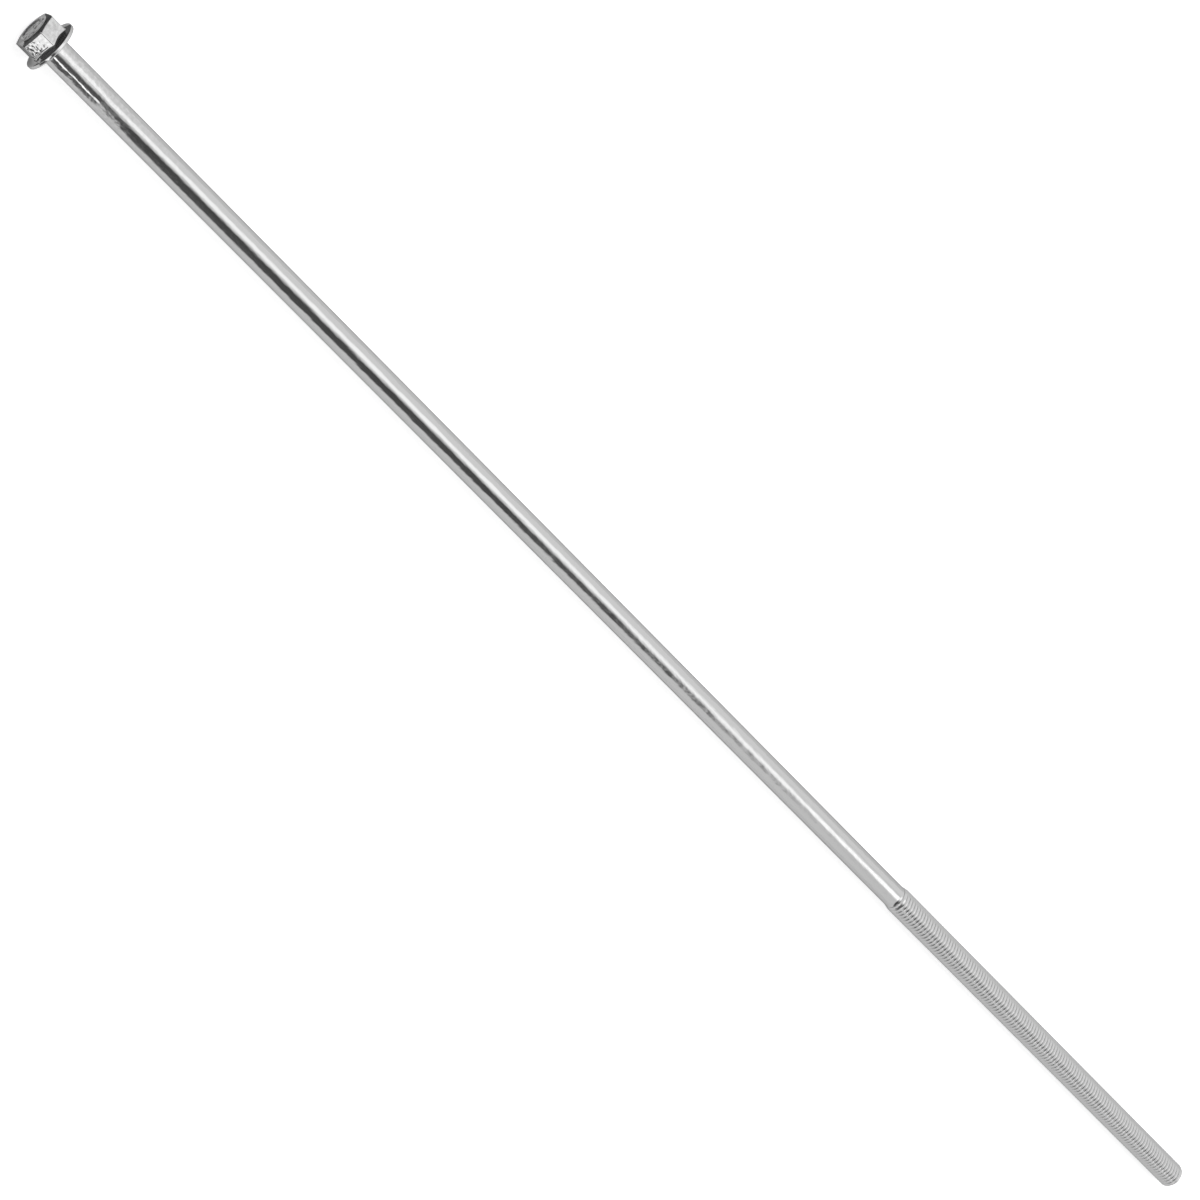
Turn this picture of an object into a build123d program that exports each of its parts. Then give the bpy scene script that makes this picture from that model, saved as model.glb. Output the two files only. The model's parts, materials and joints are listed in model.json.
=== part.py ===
from build123d import *
import os
from math import asin, atan, cos, degrees, radians, sin, tan

# A long spring screw: one cold-formed piece with an indented hex flange head, a plain
# reduced shank, and a rolled thread at its far end, drawn at its crest diameter.
# Lengths are in mm and angles in degrees. The origin is the centre of the flange's bearing
# face, +Z is up, and the screw runs along +X to its point. It lies as it would on a table,
# on the rim of its flange and the end of its thread, so its axis dips by less than a degree.

# ---- length, shank and thread ----
length_under_head = 490.0  # bearing face to the end of the point
thread_length = 144.0  # end of the point back to the first full crest
thread_run_out = 3.0  # over this length the crests rise out of the shank
thread_major = 7.85  # crest diameter of the rolled M8 thread
shank_diameter = 7.0  # plain shank, about the diameter the thread is rolled from
under_head_fillet = 0.4
point_length = 1.1
point_diameter = 5.9  # flat end of the point
point_bulge = 0.12  # rise of the point's round edge over its chord, as a share of point_length

# ---- flange ----
flange_diameter = 14.3
rim_thickness = 0.95
rim_round = 0.3  # on the edge towards the shank
skirt_round = 0.15  # on the edge towards the hex
skirt_angle = 17.0  # of the skirt's outer part, from the bearing face, rising towards the hex
hollow_diameter = 12.4  # inside this the skirt curves up to the hex
hollow_radius = 3.0

# ---- hex ----
across_flats = 10.0
head_height = 6.5  # bearing face to the top of the hex
corner_round = 0.5
chamfer_diameter = 8.6  # where the turned chamfer meets the top
chamfer_angle = 16.0
top_round = 0.15
root_fillet = 0.6  # hex into skirt
hex_turn = 8.0  # the uppermost corner leans this far from straight up, towards +Y

# ---- pocket that the forming punch leaves in the top ----
pocket_diameter = 7.3
pocket_depth = 0.35
pocket_wall_angle = 35.0  # from the screw's axis
pocket_dish = 0.12  # the floor sinks this much more to its middle
pocket_round = 0.12

# ---- worked out from the sizes above ----
flange_radius = flange_diameter / 2
shank_radius = shank_diameter / 2
thread_radius = thread_major / 2
point_radius = point_diameter / 2
flat_radius = across_flats / 2
hollow_start_radius = hollow_diameter / 2
corner_radius = flat_radius / cos(radians(30))  # of the hexagon before its corners are rounded
ring_radius = chamfer_diameter / 2
pocket_radius = pocket_diameter / 2
pocket_floor_radius = pocket_radius - pocket_depth * tan(radians(pocket_wall_angle))
dish_radius = (pocket_floor_radius**2 + pocket_dish**2) / (2 * pocket_dish)  # of the floor's sphere
thread_start = length_under_head - thread_length
point_start = length_under_head - point_length


def turned(outline):
    """A solid turned about the screw's axis from a flat outline of (along, outward)."""
    return revolve(outline, Axis.X)


def softened(outline, corner, radius):
    """The outline with the corner nearest to a place rounded."""
    return fillet(outline.vertices().sort_by_distance(Vertex(*corner))[0], radius)


def blank():
    """Flange, shank, thread and point in one turned outline."""
    slope = radians(skirt_angle)
    rim_back = (-rim_thickness, flange_radius)
    hollow_start = (
        -rim_thickness - (flange_radius - hollow_start_radius) * tan(slope),
        hollow_start_radius,
    )
    hollow_centre = (
        hollow_start[0] - hollow_radius * cos(slope),
        hollow_start[1] + hollow_radius * sin(slope),
    )
    inside_hex = 0.98 * flat_radius  # the hollow runs on inside the hex to here
    end_slope = asin((hollow_centre[1] - inside_hex) / hollow_radius)
    hollow_end = (hollow_centre[0] + hollow_radius * cos(end_slope), inside_hex)
    rim_front = (0, flange_radius)
    neck = (0, shank_radius)
    nose_start = (point_start, thread_radius)
    nose_end = (length_under_head, point_radius)
    inside = Polyline((length_under_head, 0), (hollow_end[0], 0), hollow_end)
    hollow = RadiusArc(hollow_end, hollow_start, hollow_radius)
    sides = Polyline(
        hollow_start,
        rim_back,
        rim_front,
        neck,
        (thread_start - thread_run_out, shank_radius),
        (thread_start, thread_radius),
        nose_start,
    )
    nose = SagittaArc(nose_start, nose_end, point_bulge * point_length)
    end = Line(nose_end, (length_under_head, 0))
    outline = make_face(inside + hollow + sides + nose + end)
    outline = softened(outline, rim_back, skirt_round)
    outline = softened(outline, rim_front, rim_round)
    outline = softened(outline, neck, under_head_fillet)
    return turned(outline)


def hex_head():
    """Hex bar trimmed by one turned outline: its chamfer ends each facet in an arch, and
    its hollow is the pocket, with a floor that is part of a sphere."""
    section = Plane.YZ * RegularPolygon(flat_radius, 6, major_radius=False, rotation=30)
    section = fillet(section.vertices(), corner_round)
    bar = extrude(Pos(-head_height, 0, 0) * section, amount=head_height - rim_thickness)
    lowest = (-head_height + pocket_depth + pocket_dish, 0)
    floor_edge = (-head_height + pocket_depth, pocket_floor_radius)
    ring_inside = (-head_height, pocket_radius)
    ring_outside = (-head_height, ring_radius)
    chamfer_fall = (corner_radius - ring_radius) * tan(radians(chamfer_angle))
    floor = RadiusArc(floor_edge, lowest, dish_radius)
    sides = Polyline(
        floor_edge,
        ring_inside,
        ring_outside,
        (-head_height + chamfer_fall, corner_radius),
        (-rim_thickness, corner_radius),
        (-rim_thickness, 0),
        lowest,
    )
    trim = make_face(sides + floor)
    trim = softened(trim, ring_inside, pocket_round)
    trim = softened(trim, ring_outside, top_round)
    return bar & turned(trim)


def screw():
    turned_part, head = blank(), hex_head()
    body = turned_part + head
    root = new_edges(turned_part, head, combined=body)
    return fillet(root, root_fillet)


def lie_down(body):
    """Turn the hex to its place and tip the screw on to its flange rim and thread end."""
    support_span = point_start + rim_round
    dip = degrees(atan((flange_radius - thread_radius) / support_span))
    return Rot(0, dip, 0) * Rot(-hex_turn, 0, 0) * body


spring_screw = lie_down(screw())
os.makedirs("parts", exist_ok=True)
export_step(spring_screw, "parts/spring_screw.step")
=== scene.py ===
# %% [markdown]
# # A spring screw, from head to point
# The object is a long, slender screw in one piece: a small hexagon head with a flange and a
# shallow pocket in its top, a plain shank, and a rolled thread that ends in a rounded point.
# It is steel with a bright zinc plate. The solid model, made elsewhere, is loaded first as a
# fixed frame: it says where the screw lies and how large it is. A finer skin is then modelled
# over it here, with true thread turns and the marks that forming leaves.

# %% Load the solid model as a fixed frame
import json
from math import asin, atan2, ceil, cos, degrees, hypot, pi, radians, sin, sqrt, tan

import bmesh
import bpy
from mathutils import Matrix, Vector


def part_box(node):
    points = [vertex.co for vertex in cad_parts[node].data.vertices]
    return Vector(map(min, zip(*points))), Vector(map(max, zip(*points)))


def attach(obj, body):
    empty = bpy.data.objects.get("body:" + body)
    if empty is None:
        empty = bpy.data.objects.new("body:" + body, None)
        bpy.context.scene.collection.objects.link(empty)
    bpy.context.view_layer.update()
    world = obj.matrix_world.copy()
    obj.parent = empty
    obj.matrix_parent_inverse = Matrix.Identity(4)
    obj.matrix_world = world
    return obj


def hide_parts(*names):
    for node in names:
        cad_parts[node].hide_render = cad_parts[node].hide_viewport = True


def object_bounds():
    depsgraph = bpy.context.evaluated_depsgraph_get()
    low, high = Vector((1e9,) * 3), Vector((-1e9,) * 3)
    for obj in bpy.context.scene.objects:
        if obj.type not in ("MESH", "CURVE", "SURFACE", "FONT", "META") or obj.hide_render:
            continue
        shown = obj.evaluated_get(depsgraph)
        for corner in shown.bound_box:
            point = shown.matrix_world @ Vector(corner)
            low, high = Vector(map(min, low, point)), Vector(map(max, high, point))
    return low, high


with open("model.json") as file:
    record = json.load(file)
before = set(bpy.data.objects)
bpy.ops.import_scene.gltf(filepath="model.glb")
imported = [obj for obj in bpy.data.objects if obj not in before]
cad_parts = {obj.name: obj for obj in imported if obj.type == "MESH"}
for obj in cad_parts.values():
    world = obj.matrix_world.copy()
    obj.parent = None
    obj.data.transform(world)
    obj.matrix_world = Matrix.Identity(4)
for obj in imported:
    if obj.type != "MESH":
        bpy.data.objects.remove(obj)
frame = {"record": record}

cad_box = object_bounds()
mm = 0.001
print("solid model's box:", cad_box)

# %% [markdown]
# ## Read the sizes from the frame
# The record that comes with the solid model names four places on the screw. Reading the
# lengths from them, and not typing them again, keeps the skin and the solid in step. The
# screw is modelled with its axis along X and the middle of the flange's bearing face at the
# origin, because turned shapes are easy there. It is tipped to its resting place at the end.

# %% Sizes from the frame
mounts = {mount["name"]: mount for mount in frame["record"]["mounts"]}
thread_mount = mounts["thread"]
axis_at_rest = Vector(thread_mount["axis"]).normalized()
dip = asin(-axis_at_rest.z)
head_height = Vector(mounts["hex_drive"]["pos_m"]).length
crest_radius = thread_mount["dims"]["r_mm"] * mm
thread_middle = Vector(thread_mount["pos_m"]).length
thread_half = thread_mount["dims"]["length_mm"] * mm / 2
first_crest = thread_middle - thread_half
nose_start = thread_middle + thread_half
box_low, box_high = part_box("spring_screw")
flange_radius = (box_high[1] - box_low[1]) / 2
print(f"dip {degrees(dip):.3f} degrees, head {head_height / mm:.2f} mm high")
print(f"flange {2 * flange_radius / mm:.2f} mm, thread {2 * crest_radius / mm:.2f} mm over its crests")
print(f"thread from {first_crest / mm:.1f} to {nose_start / mm:.1f} mm")

# %% Sizes of the details
shank_radius = 3.5 * mm
nose_length = 1.1 * mm
nose_end_radius = 2.95 * mm
nose_bulge = 0.1375 * mm  # how far the nose stands out from a straight cone, halfway along
screw_end = nose_start + nose_length

flat_radius = 5.0 * mm  # half of the hexagon's width across flats
corner_round = 0.5 * mm
rim_thickness = 0.95 * mm
rim_round = 0.3 * mm  # on the edge towards the shank
skirt_round = 0.15 * mm  # on the edge towards the hexagon
skirt_slope = radians(17)
hollow_start = 6.2 * mm  # inside this radius the skirt curves up to the hexagon
hollow_radius = 3.0 * mm
root_fillet = 0.6 * mm
neck_fillet = 0.4 * mm

ring_radius = 4.3 * mm  # outer edge of the flat ring round the pocket
chamfer_slope = radians(16)
ring_round = 0.15 * mm
pocket_radius = 3.65 * mm
pocket_depth = 0.35 * mm
pocket_wall_slope = radians(35)  # from the axis
pocket_dish = 0.12 * mm
pocket_round = 0.12 * mm
hex_lean = radians(8)  # the uppermost corner leans this far towards +Y

# %% [markdown]
# ## Camera
# The screw is nearly half a metre long and is seen from above, beyond its head, so the head
# is nearer than the point and looks larger. The camera is placed from that: a point on the
# screw's axis to look at, a distance, and how far the line of sight leans from square.
# It is then rolled until the screw runs from corner to corner of the square picture.

# %% Place the camera
look_at = 209.0 * mm * axis_at_rest
camera_distance = 918.4 * mm
sight_lean = radians(28.6)
roll = radians(45.2)

sideways = axis_at_rest.cross(Vector((0, 0, 1))).normalized()  # about -Y
upwards = sideways.cross(axis_at_rest)
backwards = cos(sight_lean) * upwards - sin(sight_lean) * axis_at_rest
across = sideways.cross(backwards)
if across.dot(axis_at_rest) < 0:
    across = -across
camera_x = cos(roll) * across - sin(roll) * sideways
camera_y = -sin(roll) * across - cos(roll) * sideways
camera_data = bpy.data.cameras.new("camera")
camera_data.sensor_width = 36
camera_data.lens = 104.1
camera_data.clip_start, camera_data.clip_end = 0.05, 50
camera = bpy.data.objects.new("camera", camera_data)
bpy.context.collection.objects.link(camera)
camera.matrix_world = Matrix.Translation(look_at + camera_distance * backwards) @ Matrix(
    (camera_x, camera_y, backwards)
).transposed().to_4x4()
bpy.context.scene.camera = camera
print("camera at", [round(value, 3) for value in camera.location])

# %% [markdown]
# ## Working in edit mode from code
# Every ring of the turned part is made as one would by hand: the open edge is selected, it
# is extruded, and the new edge is moved to its place. Along the hexagon the place of a point
# depends on the direction it lies in, because a corner reaches further out than a flat. So
# one small helper extrudes the open edge and asks a rule where each of its points goes.

# %% Helpers for edit mode
def start_editing(piece):
    bpy.context.view_layer.objects.active = piece
    bpy.ops.object.mode_set(mode="EDIT")


def stop_editing():
    bpy.ops.object.mode_set(mode="OBJECT")


def deselect_objects():
    bpy.ops.object.select_all(action="DESELECT")


def apply_place():
    """Put the object's place, turn and scale into its mesh."""
    bpy.ops.object.transform_apply(location=True, rotation=True, scale=True)


def select_points(test):
    """Select the points of the mesh in edit mode whose (along, outward) pass a test."""
    mesh = bpy.context.edit_object.data
    bpy.ops.mesh.select_all(action="DESELECT")
    points = bmesh.from_edit_mesh(mesh)
    for point in points.verts:
        point.select = test(point.co.x, hypot(point.co.y, point.co.z))
    points.select_flush(True)
    bmesh.update_edit_mesh(mesh)
    return sum(point.select for point in points.verts)


def place_selected(rule):
    """Move each selected point to the (along, outward) that a rule gives for its direction."""
    mesh = bpy.context.edit_object.data
    points = bmesh.from_edit_mesh(mesh)
    for point in points.verts:
        if point.select:
            direction = atan2(point.co.y, point.co.z)
            along, outward = rule(direction)
            point.co = along, outward * sin(direction), outward * cos(direction)
    bmesh.update_edit_mesh(mesh)


def next_ring(rule):
    bpy.ops.mesh.extrude_region_move()
    place_selected(rule)


def turned_rings(outline):
    """One ring for each (along, outward) of a turned outline."""
    for along, outward in outline:
        next_ring(lambda direction: (along, outward))


def rounding(centre_along, centre_outward, radius, start, end, steps):
    """Outline points on an arc. Its angles turn from facing the head (0) to outward (90)."""
    angles = [radians(start + (end - start) * step / steps) for step in range(steps + 1)]
    return [(centre_along - radius * cos(a), centre_outward + radius * sin(a)) for a in angles]


# %% [markdown]
# ## The hexagon's outline
# A six-sided circle is the bar's section. Bevelling its corners by points gives the small
# radius that every forged hexagon has, and subdividing its long edges gives the same points
# to the round parts, which need them to look round.

# %% Draw the hexagon's outline
hex_start = -3.5 * mm  # between the fillet at its root and the chamfer
corner_steps = 8
flat_cuts = 15
shortest_flat = 2 * mm  # an edge longer than this is a flat, and a shorter one a corner's
deselect_objects()
bpy.ops.mesh.primitive_circle_add(
    vertices=6, radius=flat_radius / cos(pi / 6), location=(hex_start, 0, 0), rotation=(0, pi / 2, 0)
)
screw = bpy.context.object
screw.name = screw.data.name = "spring_screw_skin"
apply_place()
start_editing(screw)
bpy.ops.mesh.select_all(action="SELECT")
bpy.ops.transform.rotate(value=pi / 6, orient_axis="X", center_override=(0, 0, 0))
bpy.ops.mesh.bevel(affect="VERTICES", offset=corner_round * tan(pi / 6), segments=corner_steps)
outline = bmesh.from_edit_mesh(screw.data)
for edge in outline.edges:
    edge.select = edge.calc_length() > shortest_flat
outline.select_flush_mode()
bmesh.update_edit_mesh(screw.data)
bpy.ops.mesh.subdivide(number_cuts=flat_cuts)


def hex_reach(direction):
    """How far the hexagon reaches out in a direction, measured from +Z towards +Y."""
    off_corner = abs((direction + pi / 6) % (pi / 3) - pi / 6)
    centre = (flat_radius - corner_round) / cos(pi / 6)
    if off_corner < atan2(corner_round * sin(pi / 6), centre + corner_round * cos(pi / 6)):
        return centre * cos(off_corner) + sqrt(corner_round**2 - (centre * sin(off_corner)) ** 2)
    return flat_radius / cos(pi / 6 - off_corner)


ring_points = select_points(lambda along, outward: True)
place_selected(lambda direction: (hex_start, hex_reach(direction)))
print("points in each ring:", ring_points)

# %% [markdown]
# ## Flange
# The blank is struck between two dies. The skirt starts at the rim as a low cone, and then
# curves up to the hexagon in a hollow that is turned with a round tool. A small fillet joins
# the hollow to the facets. The hollow is lower where a corner reaches out over it, so the
# fillet dips at each corner, and that gives the shadow at the root its waves.

# %% Fillet, skirt and rim
hollow_from = -rim_thickness - (flange_radius - hollow_start) * tan(skirt_slope)
hollow_along = hollow_from - hollow_radius * cos(skirt_slope)  # the centre of its circle
hollow_outward = hollow_start + hollow_radius * sin(skirt_slope)


def root_slope(reach):
    """The slope at which the fillet that starts at a reach meets the hollow."""
    return asin((hollow_outward - reach - root_fillet) / (hollow_radius - root_fillet))


def root_rule(share):
    """A ring of the fillet: 0 is where it leaves the hexagon and 1 where it ends."""
    def rule(direction):
        reach = hex_reach(direction)
        slope = root_slope(reach)
        angle = share * (pi / 2 - slope)
        centre = hollow_along + (hollow_radius - root_fillet) * cos(slope)
        return centre + root_fillet * sin(angle), reach + root_fillet * (1 - cos(angle))
    return rule


def hollow_rule(share):
    """A ring of the hollow: 0 is the fillet's end and 1 the cone's start."""
    def rule(direction):
        first = root_slope(hex_reach(direction))
        slope = first + share * (skirt_slope - first)
        return hollow_along + hollow_radius * cos(slope), hollow_outward - hollow_radius * sin(slope)
    return rule


root_steps = 8
for step in range(root_steps + 1):
    next_ring(root_rule(step / root_steps))
for share in (0.25, 0.5, 0.75, 1.0):
    next_ring(hollow_rule(share))
edge_along = -rim_thickness + skirt_round * (1 / cos(skirt_slope) - tan(skirt_slope))
cone_middle = ((hollow_from - rim_thickness) / 2, (hollow_start + flange_radius) / 2)
turned_rings([cone_middle])
turned_rings(rounding(edge_along, flange_radius - skirt_round, skirt_round, degrees(skirt_slope), 90, 4))
turned_rings(rounding(-rim_round, flange_radius - rim_round, rim_round, 90, 180, 5))
root_dip = root_rule(0)(0)[0] - root_rule(0)(pi / 6)[0]
print("root dips", round(root_dip / mm, 2), "mm at the corners")

# %% [markdown]
# ## Bearing face and shank
# Behind the rim comes the flat face that bears on the work, a small fillet, and then the
# plain shank. The shank is a cylinder, but it is cut into lengths so that its faces aren't
# slivers. It ends just before the thread runs out.

# %% Bearing face, neck and shank
run_out = 3.0 * mm
shank_end = first_crest - run_out - 2 * mm
turned_rings([(0, 0.75 * flange_radius), (0, shank_radius + neck_fillet)])
neck_steps = 5
for step in range(1, neck_steps + 1):
    angle = pi / 2 * step / neck_steps
    turned_rings([(neck_fillet * (1 - cos(angle)), shank_radius + neck_fillet * (1 - sin(angle)))])
shank_start = neck_fillet + 1 * mm
shank_cuts = 48
shank_step = (shank_end - shank_start) / shank_cuts
turned_rings([(shank_start + shank_step * cut, shank_radius) for cut in range(shank_cuts + 1)])
print("shank ends at", round(shank_end / mm, 2), "mm")

# %% [markdown]
# ## The six facets and the chamfer
# A turned chamfer cuts the top of the hexagon. Where a cone meets a flat facet the edge is an
# arch, highest in the middle of the facet. The rule for that ring is the cone's own height at
# the hexagon's reach, and rings close to it on both sides break the sharp edge a little.

# %% Facets and chamfer
def chamfer_along(outward):
    return -head_height + (outward - ring_radius) * tan(chamfer_slope)


def facet_rule(below):
    """A ring on the facets, a distance below the arch."""
    return lambda direction: (chamfer_along(hex_reach(direction)) + below, hex_reach(direction))


def chamfer_rule(inside):
    """A ring on the chamfer, a distance inside the arch."""
    def rule(direction):
        outward = hex_reach(direction) - inside
        return chamfer_along(outward), outward
    return rule


def arch_edge(direction):
    """The arch itself, worn back a hundredth of a millimetre both ways."""
    outward = hex_reach(direction) - 0.012 * mm
    return chamfer_along(outward) + 0.014 * mm, outward


select_points(lambda along, outward: abs(along - hex_start) < 0.001 * mm)
for below in (1.2 * mm, 0.6 * mm, 0.06 * mm):
    next_ring(facet_rule(below))
next_ring(arch_edge)
for inside in (0.06 * mm, 0.3 * mm):
    next_ring(chamfer_rule(inside))
arch_rise = chamfer_along(hex_reach(0)) - chamfer_along(flat_radius)
print("arches rise", round(arch_rise / mm, 2), "mm above the corners")

# %% [markdown]
# ## Ring and pocket
# The punch that forms the head leaves a shallow round pocket, so the hexagon's top is only a
# narrow flat ring. The pocket has a steep wall and a floor that dishes a little. Its rings
# get smaller and the last one is filled.

# %% Ring, pocket wall and dished floor
ring_outer = ring_radius - ring_round * tan(chamfer_slope / 2)
turned_rings(rounding(-head_height + ring_round, ring_outer, ring_round, degrees(chamfer_slope), 0, 4))
ring_inner = pocket_radius + pocket_round * tan((pi / 2 - pocket_wall_slope) / 2)
turned_rings(rounding(
    -head_height + pocket_round, ring_inner, pocket_round, 0, degrees(pocket_wall_slope) - 90, 4
))
floor_edge = pocket_radius - pocket_depth * tan(pocket_wall_slope)
floor_along = -head_height + pocket_depth
for share in (1.0, 0.97, 0.93, 0.85, 0.7, 0.5, 0.3, 0.1):
    turned_rings([(floor_along + pocket_dish * (1 - share**2), share * floor_edge)])
bpy.ops.mesh.edge_face_add()
stop_editing()
print("faces so far:", len(screw.data.polygons))

# %% [markdown]
# ## The thread
# A thread is one tooth profile that travels round the axis and moves forward by one pitch in
# each turn. The Screw modifier does exactly that. The profile is drawn point by point with
# extrude: half a root, a flank at thirty degrees from square, a narrow crest, and down again.

# %% One pitch of the thread
pitch = 1.25 * mm
root_radius = 3.3 * mm
turn_steps = 60
thread_begin = first_crest - run_out - 3 * pitch
turns = ceil((screw_end + 2 * pitch - thread_begin) / pitch)
root_rise = 0.03 * mm  # where the root's hollow meets the flank
shoulder_drop = 0.06 * mm  # where the flank meets the crest's round
shoulder_half = 0.014 * mm  # halfway over that round
tooth = [
    (0, root_radius), (0.09 * mm, root_radius + root_rise),
    (0.4 * mm, crest_radius - shoulder_drop), (0.465 * mm, crest_radius - shoulder_half),
    (0.53 * mm, crest_radius), (0.73 * mm, crest_radius),
    (0.795 * mm, crest_radius - shoulder_half), (0.86 * mm, crest_radius - shoulder_drop),
    (1.16 * mm, root_radius + root_rise), (pitch, root_radius),
]
deselect_objects()
bpy.ops.mesh.primitive_plane_add(size=1 * mm)
thread = bpy.context.object
start_editing(thread)
bpy.ops.mesh.merge(type="CENTER")
bpy.ops.transform.translate(value=(thread_begin, 0, root_radius))
for (near, low), (far, high) in zip(tooth, tooth[1:]):
    bpy.ops.mesh.extrude_vertices_move(
        TRANSFORM_OT_translate={"value": (far - near, 0, high - low)}
    )
stop_editing()
winding = thread.modifiers.new("winding", "SCREW")
winding.axis = "X"
winding.angle = 2 * pi
winding.screw_offset = pitch
winding.iterations = turns
winding.steps = winding.render_steps = turn_steps
bpy.ops.object.modifier_apply(modifier="winding")
start_editing(thread)
bpy.ops.mesh.select_all(action="SELECT")
bpy.ops.mesh.remove_doubles(threshold=0.002 * mm)
stop_editing()
print("turns:", turns, "faces:", len(thread.data.polygons))

# %% [markdown]
# ## Run-out and point
# Rolling dies let go of the blank over a few turns, so the crests sink into the shank there,
# and the roots rise to it. At the other end the blank's rounded point limits the crests. Both
# are the same job: each point of the thread is held between a lowest and a highest radius.

# %% Hold the thread to its blank
def pressed_in(along):
    """How far the dies have closed: 0 on the plain shank and 1 on the full thread."""
    share = min(max((along - first_crest + run_out) / run_out, 0), 1)
    return share * share * (3 - 2 * share)


def highest_at(along):
    if along > nose_start:
        share = min((along - nose_start) / nose_length, 1)
        cone = crest_radius + (nose_end_radius - crest_radius) * share
        return cone + 4 * nose_bulge * share * (1 - share)
    return shank_radius + (crest_radius - shank_radius) * pressed_in(along)


def lowest_at(along):
    return shank_radius + (root_radius - shank_radius) * pressed_in(along)


for point in thread.data.vertices:
    outward = hypot(point.co.y, point.co.z)
    held = min(max(outward, lowest_at(point.co.x)), highest_at(point.co.x))
    point.co.y *= held / outward
    point.co.z *= held / outward

# %% [markdown]
# ## Trim the thread and join it to the shank
# The winding has a ragged end on both sides. Bisect cuts each one square: on the shank side
# the cut edge is left open, and at the point the edge is drawn in to a flat end and filled.
# The open edges of shank and thread are then bridged, and the screw is one closed skin. The
# cuts are moved off the round figures by a hair, because a cut that passes through points of
# the mesh leaves loose slivers, and such an edge doesn't bridge.

# %% Trim both ends and close the point
start_editing(thread)
bpy.ops.mesh.select_all(action="SELECT")
off_the_points = 0.007 * mm
tolerance = 1e-7
start_cut = first_crest - run_out - 1 * mm - off_the_points
bpy.ops.mesh.bisect(plane_co=(start_cut, 0, 0), plane_no=(1, 0, 0), clear_inner=True, threshold=tolerance)
bpy.ops.mesh.select_all(action="SELECT")
end_cut = screw_end - 0.1 * mm - off_the_points
bpy.ops.mesh.bisect(plane_co=(end_cut, 0, 0), plane_no=(1, 0, 0), clear_outer=True, threshold=tolerance)
print("points on the end's edge:", select_points(lambda along, outward: along > end_cut - tolerance))
end_edge = highest_at(end_cut)
turned_rings([
    (screw_end - 0.05 * mm, end_edge - 0.05 * mm), (screw_end, end_edge - 0.16 * mm),
    (screw_end, 0.5 * end_edge),
])
bpy.ops.mesh.edge_face_add()
stop_editing()

# %% Join the thread to the shank
deselect_objects()
thread.select_set(True)
screw.select_set(True)
bpy.context.view_layer.objects.active = screw
bpy.ops.object.join()
start_editing(screw)
bpy.ops.mesh.select_all(action="DESELECT")
bpy.ops.mesh.select_non_manifold()
bpy.ops.mesh.bridge_edge_loops()
bpy.ops.mesh.select_all(action="SELECT")
bpy.ops.mesh.remove_doubles(threshold=0.001 * mm)
bpy.ops.mesh.normals_make_consistent(inside=False)
bpy.ops.mesh.select_all(action="DESELECT")
bpy.ops.mesh.select_non_manifold()
gaps = bmesh.from_edit_mesh(screw.data)
print("open edges:", sum(edge.select for edge in gaps.edges))
stop_editing()

# %% [markdown]
# ## Lay the screw down
# The hexagon leans a few degrees, and the whole screw dips until its flange rim and the end
# of its thread touch the floor, as the solid model does. The turn is applied to the mesh, so
# the object itself stays at the origin, unturned, and patterns in its material stay put.

# %% Turn to its resting place
screw.matrix_world = Matrix.Rotation(dip, 4, "Y") @ Matrix.Rotation(-hex_lean, 4, "X")
deselect_objects()
screw.select_set(True)
bpy.context.view_layer.objects.active = screw
apply_place()
bpy.ops.object.shade_smooth_by_angle(angle=radians(28))
triangles = sum(len(face.vertices) - 2 for face in screw.data.polygons)
print("triangles:", triangles)
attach(screw, "root")
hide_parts("spring_screw")

# %% [markdown]
# ## Writing shaders as sums
# A material is a graph of nodes, but most of its small nodes only add and multiply. One small
# class wraps a socket, so that a plain Python expression adds those Math nodes. Everything
# else comes from one method that is given a node's type, its settings and its sockets.

# %% Wrap a socket, and a node tree
class Wire:
    """The value that leaves a socket. Sums with it add Math nodes."""

    def __init__(self, tree, socket):
        self.tree, self.socket = tree, socket

    def math(self, operation, first, *others):
        sockets = dict(enumerate((first, *others)))
        return self.tree.add("ShaderNodeMath", {"operation": operation}, sockets)

    def __add__(self, other):
        return self.math("ADD", self, other)

    def __radd__(self, other):
        return self.math("ADD", other, self)

    def __sub__(self, other):
        return self.math("SUBTRACT", self, other)

    def __rsub__(self, other):
        return self.math("SUBTRACT", other, self)

    def __mul__(self, other):
        return self.math("MULTIPLY", self, other)

    def __rmul__(self, other):
        return self.math("MULTIPLY", other, self)

    def __pow__(self, other):
        return self.math("POWER", self, other)

    def rise(self, low, high):
        """0 below low, 1 above high, and a smooth rise between."""
        return self.tree.add(
            "ShaderNodeMapRange", {"interpolation_type": "SMOOTHSTEP"}, {0: self, 1: low, 2: high}
        )

    def between(self, low, high, soft):
        """1 between low and high and 0 outside, with edges that are soft on both sides."""
        return self.rise(low - soft, low + soft) * (1 - self.rise(high - soft, high + soft))


class Tree:
    """The node tree of a material or of the world."""

    def __init__(self, owner):
        owner.use_nodes = True
        self.tree = owner.node_tree
        self.tree.nodes.clear()

    def add(self, kind, settings=None, sockets=None, output=0):
        node = self.tree.nodes.new(kind)
        for name, setting in (settings or {}).items():
            setattr(node, name, setting)
        for name, value in (sockets or {}).items():
            if isinstance(value, Wire):
                self.tree.links.new(value.socket, node.inputs[name])
            else:
                node.inputs[name].default_value = value
        return Wire(self, node.outputs[output] if node.outputs else None)

    def dot(self, vector, constant):
        return self.add(
            "ShaderNodeVectorMath", {"operation": "DOT_PRODUCT"}, {0: vector, 1: constant}, "Value"
        )


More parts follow.
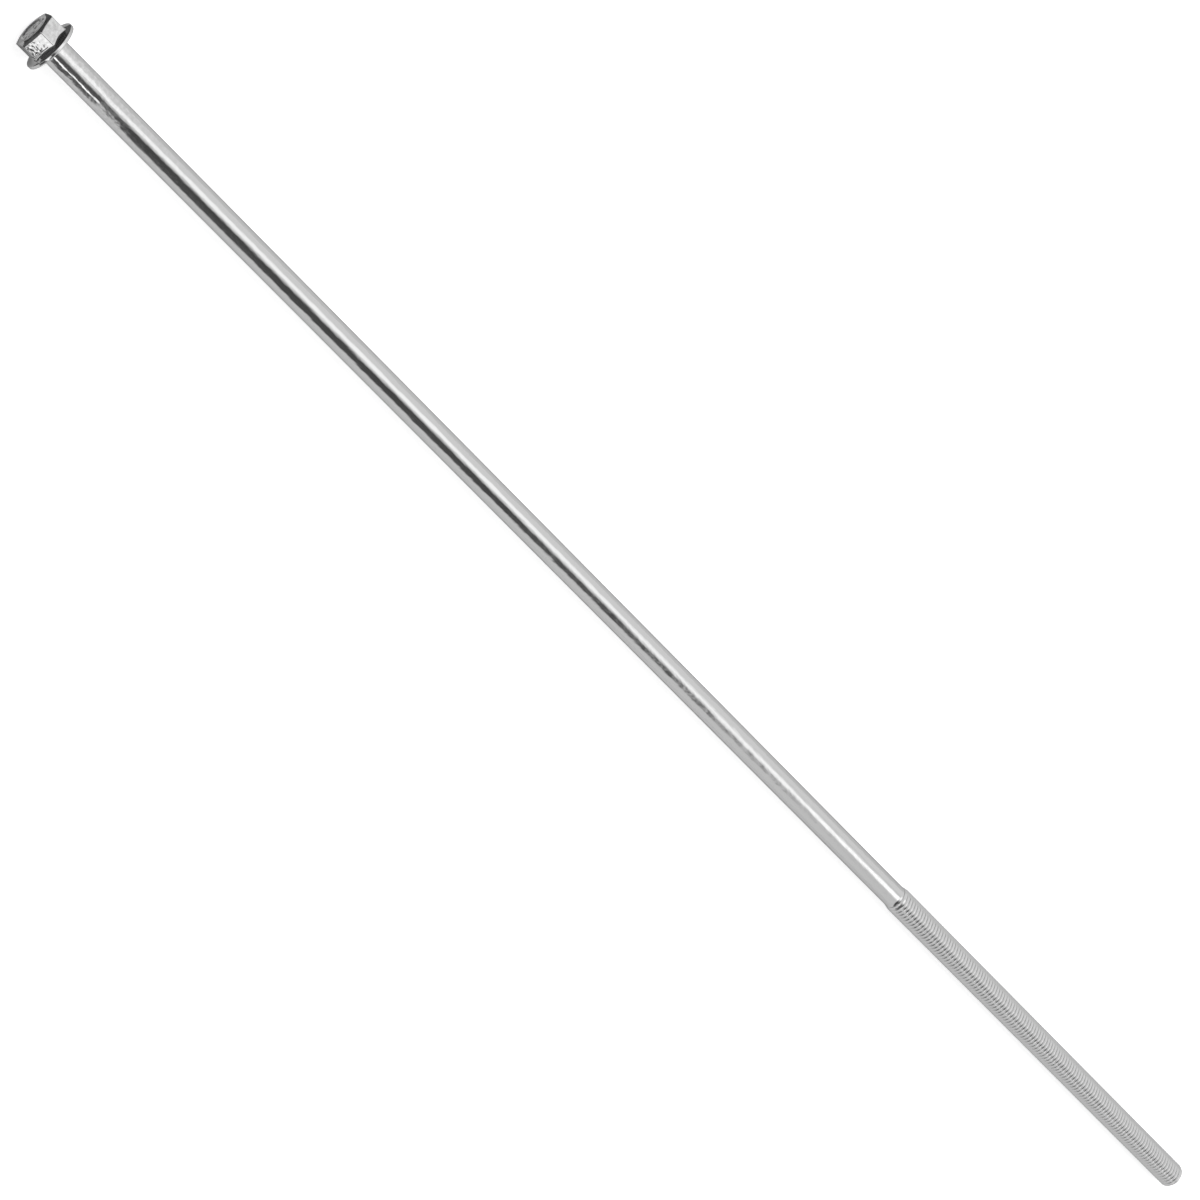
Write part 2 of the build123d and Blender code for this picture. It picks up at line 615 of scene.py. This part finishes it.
# %% [markdown]
# ## Floor
# The screw lies on a pale sheet with a matt paint. Light Path tells the material what kind of
# ray has arrived, and a glow is added for the camera's own rays. So the camera sees the sheet
# as clean white with only a trace of shadow, and the metal mirrors the paint as it is.

# %% Lay the floor
floor_level = cad_box[0][2]
deselect_objects()
bpy.ops.mesh.primitive_plane_add(size=6, location=(0, 0, floor_level))
floor = bpy.context.object
floor.name = "floor"
apply_place()
white_sheet = bpy.data.materials.new("white_sheet")
sheet = Tree(white_sheet)
seen_by_camera = sheet.add("ShaderNodeLightPath", output="Is Camera Ray")
paint = sheet.add("ShaderNodeBsdfDiffuse", sockets={"Color": (0.64, 0.64, 0.64, 1)})
glow = sheet.add("ShaderNodeEmission", sockets={"Strength": 0.65 * seen_by_camera})
lit_sheet = sheet.add("ShaderNodeAddShader", sockets={0: paint, 1: glow})
sheet.add("ShaderNodeOutputMaterial", sockets={"Surface": lit_sheet})
floor.data.materials.append(white_sheet)

# %% [markdown]
# ## Studio
# Bright metal shows its surroundings, so the room matters as much as the metal. The world is
# the room, and a cylinder shows what stands in it as stripes along its length. Each thing in
# the room is placed by two numbers. Azimuth is the angle round the screw's axis, in degrees
# from straight up towards -Y. Lean is the sine of the angle by which a direction tips towards
# the point. The shank mirrors leans from 0.3 near the head to 0.57 where the thread starts,
# and the thread goes on to 0.66. The zinc's bump, further down, turns the shank's first
# stretch to about 0.16 and the head to about 0.08, so each has a part of the room to itself.

# %% Directions in the studio
world = bpy.data.worlds.new("studio")
studio = Tree(world)
ray = studio.add("ShaderNodeTexCoord", output="Generated")
lean = studio.dot(ray, axis_at_rest)
azimuth = (180 / pi) * studio.add(
    "ShaderNodeMath", {"operation": "ARCTAN2"}, {0: studio.dot(ray, sideways), 1: studio.dot(ray, upwards)}
)
at_head = 1 - lean.rise(0.1, 0.14)
beside_head = lean.rise(0.1, 0.14) * (1 - lean.rise(0.19, 0.22))
past_middle = lean.rise(0.47, 0.57)

# %% [markdown]
# ## Softbox
# A softbox hangs overhead, a little to the +Y side, and gives the shank its bright stripe. It
# swings over to the middle past the half of the screw, is brightest where the thread starts
# and fades out towards the point. A weak strip low on the same side is for the head alone.

# %% Hang the softbox
over_shank = (azimuth + 7 * beside_head).between(-44, -12, 9)
thread_strength = 1.2 + lean.rise(0.575, 0.59) - 2.2 * lean.rise(0.6, 0.67)
over_thread = thread_strength * azimuth.between(-27, 6, 10)
softbox = over_shank * (1 - past_middle) + over_thread * past_middle
softbox = softbox + 0.25 * azimuth.between(-76, -58, 5) * at_head
softbox = softbox * lean.rise(-0.3, 0)

# %% [markdown]
# ## Dark side
# The room has a dark stretch on the -Y side. There the screw shows a dark band, whose lower
# edge climbs along the shank and which fades out before the thread. A paler stretch divides
# it near the head, and on the head and right behind it the band reaches further down.

# %% Darken one side
dark_edge = 70 - 150 * (lean - 0.316) - 35 * (1 - lean.rise(0.235, 0.3))
dark = (1 - (azimuth - dark_edge).rise(-5, 5)) * (1 - lean.rise(0.492, 0.546))
dark = dark * (1 - 0.35 * lean.between(0.22, 0.255, 0.01))
dark_at_head = (1 - azimuth.rise(82, 86)) * (1 - lean.rise(0.19, 0.22))
dark = dark.math("MAXIMUM", dark, dark_at_head)
dark = dark * (azimuth + 6 * beside_head).rise(-6, 12) * lean.rise(-0.15, -0.05)

# %% [markdown]
# ## Window
# A narrow window in the dark side draws the bright line through the band beside the head. It
# fades out along the shank. The head mirrors a wider and dimmer one.

# %% Open the window
window_fade = 1 - 0.5 * lean.rise(0.18, 0.22) - 0.5 * lean.rise(0.24, 0.28)
narrow_window = (azimuth - 5 * lean.rise(0.18, 0.24)).between(34, 45, 1.5) * window_fade
wide_window = azimuth.between(24, 52, 3) * at_head * lean.rise(-0.15, -0.05)
window = narrow_window.math("MAXIMUM", narrow_window, wide_window)
dark = dark * (1 - window)

# %% [markdown]
# ## Room
# The walls are pale all round, with a faint glow at the +Y side, and the softbox and window
# add to them. The dark side then takes most of the light away. The camera's own rays don't
# see any of this, so that what is behind the floor is plain white.

# %% Add up the studio's light
wall_strength = 0.72
softbox_strength = 0.55
window_strength = 1.1 - 0.6 * at_head - 0.3 * lean.rise(0.16, 0.18)
side_glow = 0.12 * azimuth.between(-95, -50, 8)
darkening = 0.9 - 0.03 * beside_head
brightness = wall_strength + softbox_strength * softbox + window_strength * window + side_glow
brightness = brightness * (1 - darkening * dark)
seen_by_camera = studio.add("ShaderNodeLightPath", output="Is Camera Ray")
brightness = brightness * (1 - seen_by_camera) + seen_by_camera
sky = studio.add("ShaderNodeBackground", sockets={"Color": (1, 1, 1, 1), "Strength": brightness})
studio.add("ShaderNodeOutputWorld", sockets={"Surface": sky})
bpy.context.scene.world = world
bpy.context.scene.view_settings.view_transform = "Standard"

# %% [markdown]
# ## Lamp
# One soft lamp over the shoulder of the screw lights the floor evenly. The metal doesn't
# mirror it, because the stripes on the metal are the studio's.

# %% Hang the lamp
lamp_distance = 0.9
lamp_lean = radians(30)
key_data = bpy.data.lights.new("key_light", "AREA")
key_data.shape = "RECTANGLE"
key_data.size = key_data.size_y = 0.5
key_data.energy = 4
key = bpy.data.objects.new("key_light", key_data)
bpy.context.collection.objects.link(key)
key_place = look_at + lamp_distance * (cos(lamp_lean) * upwards - sin(lamp_lean) * sideways)
towards_screw = (key_place - look_at).to_track_quat("Z", "Y").to_matrix().to_4x4()
key.matrix_world = Matrix.Translation(key_place) @ towards_screw
key.visible_camera = key.visible_glossy = False

# %% [markdown]
# ## Card
# A flat facet mirrors a single direction, so the dark line round the top of the head needs
# something dark to mirror. That is a black card, bent round the head and open behind it. A
# low gap in its -Y side leaves the skirt some pale floor to mirror, and a small wing lies on
# the floor at the other side. Only reflections see the card: it throws no shadow, and the
# camera looks through it.

# %% Bend the card round the head
card_radius = 12 * mm
card_height = 30 * mm
card_back = -5 * mm  # the card ends here, and comes no nearer to the flange
deselect_objects()
bpy.ops.mesh.primitive_circle_add(vertices=64, radius=card_radius, location=(0, 0, floor_level))
card = bpy.context.object
card.name = "black_card"
apply_place()
start_editing(card)
select_points(lambda along, outward: along > card_back)
bpy.ops.mesh.delete(type="VERT")
bpy.ops.mesh.select_all(action="SELECT")
bpy.ops.mesh.extrude_region_move(TRANSFORM_OT_translate={"value": (0, 0, card_height)})

# %% Cut the gap and lay the wing
gap_far, gap_near, gap_top = -7.3 * mm, -5 * mm, -4 * mm
level, upright = (0, 0, 1), (0, 1, 0)
for cut_place, cut_normal in (
    ((0, 0, gap_top), level), ((0, gap_near, 0), upright), ((0, gap_far, 0), upright),
):
    bpy.ops.mesh.select_all(action="SELECT")
    bpy.ops.mesh.bisect(plane_co=cut_place, plane_no=cut_normal, threshold=tolerance)
bpy.ops.mesh.select_all(action="DESELECT")
bpy.ops.mesh.select_mode(type="FACE")
walls = bmesh.from_edit_mesh(card.data)
for wall in walls.faces:
    middle = wall.calc_center_median()
    wall.select = gap_far < middle.y < gap_near and middle.z < gap_top
bmesh.update_edit_mesh(card.data)
bpy.ops.mesh.delete(type="FACE")
bpy.ops.mesh.select_mode(type="VERT")
wing_place = Vector((-7.5 * mm, 8.5 * mm, floor_level + 0.1 * mm))
wing_size = (9 * mm, 7 * mm, 1)
bpy.ops.mesh.primitive_plane_add(size=1, location=wing_place)
bpy.ops.transform.resize(value=wing_size, center_override=wing_place)
stop_editing()
print("faces of the card:", len(card.data.polygons))

# %% Blacken the card
card.visible_camera = card.visible_diffuse = card.visible_shadow = False
card_paint = bpy.data.materials.new("black_card")
black = Tree(card_paint)
matt_black = black.add("ShaderNodeBsdfDiffuse", sockets={"Color": (0.13, 0.13, 0.13, 1)})
black.add("ShaderNodeOutputMaterial", sockets={"Surface": matt_black})
card.data.materials.append(card_paint)

# %% [markdown]
# ## Bright zinc
# The plate is thin and follows the steel below it, so every mark of the steel shows through:
# fine lines along the drawn shank, low lumps near the head where the bar was gripped, stains
# on the hexagon, wrinkles on one facet and a grainy, stained pocket where the punch struck.
# Bright zinc is a neutral metal, a little softer than a mirror. Noise stretched along the
# screw makes the lines, and masks made from the Object coordinates say where each mark is
# strong.

# %% Coordinates and noise for the zinc
bright_zinc = bpy.data.materials.new("bright_zinc")
zinc = Tree(bright_zinc)
place = zinc.add("ShaderNodeTexCoord", output="Object")
x = zinc.dot(place, (1000, 0, 0))  # millimetres, as y and z below
y = zinc.dot(place, (0, 1000, 0))
z = zinc.dot(place, (0, 0, 1000))
out_from_axis = (y * y + z * z) ** 0.5


def stretched(scale, detail=3.0, roughness=0.5):
    """Noise with its own number of waves per metre along X, Y and Z."""
    mapped = zinc.add("ShaderNodeMapping", sockets={"Vector": place, "Scale": scale})
    return zinc.add(
        "ShaderNodeTexNoise",
        sockets={"Vector": mapped, "Scale": 1.0, "Detail": detail, "Roughness": roughness},
    )


# %% Where each mark is
near_head = 1 - x.rise(8, 60)
on_shank = x.rise(0.2, 0.8)
on_hexagon = 1 - x.rise(-2.4, -1.6)
in_pocket = (1 - x.rise(-5.9, -5.8)) * (1 - out_from_axis.rise(3.5, 3.7))
on_near_facet = on_hexagon * (1 - y.rise(-2.4, 0.2)) * z.rise(0, 1) * x.rise(-6.2, -5.6)

# %% Patterns of the marks
waves = stretched((110, 420, 420), 3.0)
lumps = stretched((260, 800, 800), 2.0)
# This noise gives the stains on the hexagon and in the pocket, and also the painted highlights near the
# head.
stains_and_highlights = stretched((1000, 900, 900), 3.0, 0.6)
lines = stretched((90, 2600, 2600), 2.0)
grain = stretched((1500, 1500, 1500), 2.0)
wrinkles = stretched((450, 700, 700), 1.5)
haze = stretched((45, 300, 300), 4.0, 0.6)

# %% [markdown]
# ## Relief of the zinc
# Bump takes a height, here in millimetres, and tips the surface's normal as that height would.
# The last two heights aren't marks. They only steer the reflections: one tips the head and
# the shank near it, and one tips the head a little more, by a few hundredths each, and a
# mirror doubles that. The screw has no such taper, so they are in the bump and not the mesh.

# %% Heights of the marks
wave_height = 0.075 - 0.045 * near_head
lump_height = (0.045 + 0.02 * near_head) * on_shank
bump_height = wave_height * waves + lump_height * lumps + 0.003 * lines
bump_height = bump_height + 0.07 * in_pocket * grain + 0.4 * on_near_facet * wrinkles
tipped_near_head = 0.03 * x.math("SMOOTH_MIN", x, 17, 2) + 0.03 * x.math("SMOOTH_MIN", x, 25, 12)
tipped_on_head = 0.04 * x.math("MINIMUM", x, 0)
bump_height = bump_height + tipped_near_head + tipped_on_head
bumped = zinc.add("ShaderNodeBump", sockets={"Strength": 1.0, "Distance": mm, "Height": bump_height})

# %% [markdown]
# ## Shine and colour of the zinc
# A faint haze makes the shine uneven. The shank is smoothest near the head, and the pocket is dull. Stains
# mottle the metal on the hexagon, and dark stains lie in the pocket. The pocket's metal is also made paler
# as painted light, and random lighter and darker patches near the head are painted highlights.

# %% Zinc plate
rough = 0.06 + 0.12 * haze - 0.03 * near_head * on_shank + 0.25 * in_pocket
hexagon_stains = 0.5 * on_hexagon * (stains_and_highlights - 0.5)
# Painted light: the pocket's metal is made paler to lift the shade it mirrors, and real dark stains are
# set over it.
pocket_stains_and_painted_light = in_pocket * (0.3 - 0.55 * stains_and_highlights.rise(0.5, 0.6))
# Painted highlights: random lighter and darker patches near the head stand in for the blotchy shine there.
shank_painted_highlights = 0.35 * on_shank * near_head * (stains_and_highlights - 0.5)
grey = 0.7 - hexagon_stains + pocket_stains_and_painted_light - shank_painted_highlights
black_end, white_end = (0, 0, 0, 1), (1, 1, 1, 1)
plate_colour = zinc.add(
    "ShaderNodeMix", {"data_type": "RGBA"}, {0: grey, 6: black_end, 7: white_end}, output=2
)
plate = zinc.add(
    "ShaderNodeBsdfPrincipled",
    sockets={
        "Base Color": plate_colour, "Metallic": 1.0, "Roughness": rough, "Normal": bumped,
        "Specular Tint": (0.6, 0.6, 0.6, 1),
    },
)
zinc.add("ShaderNodeOutputMaterial", sockets={"Surface": plate})
screw.data.materials.append(bright_zinc)
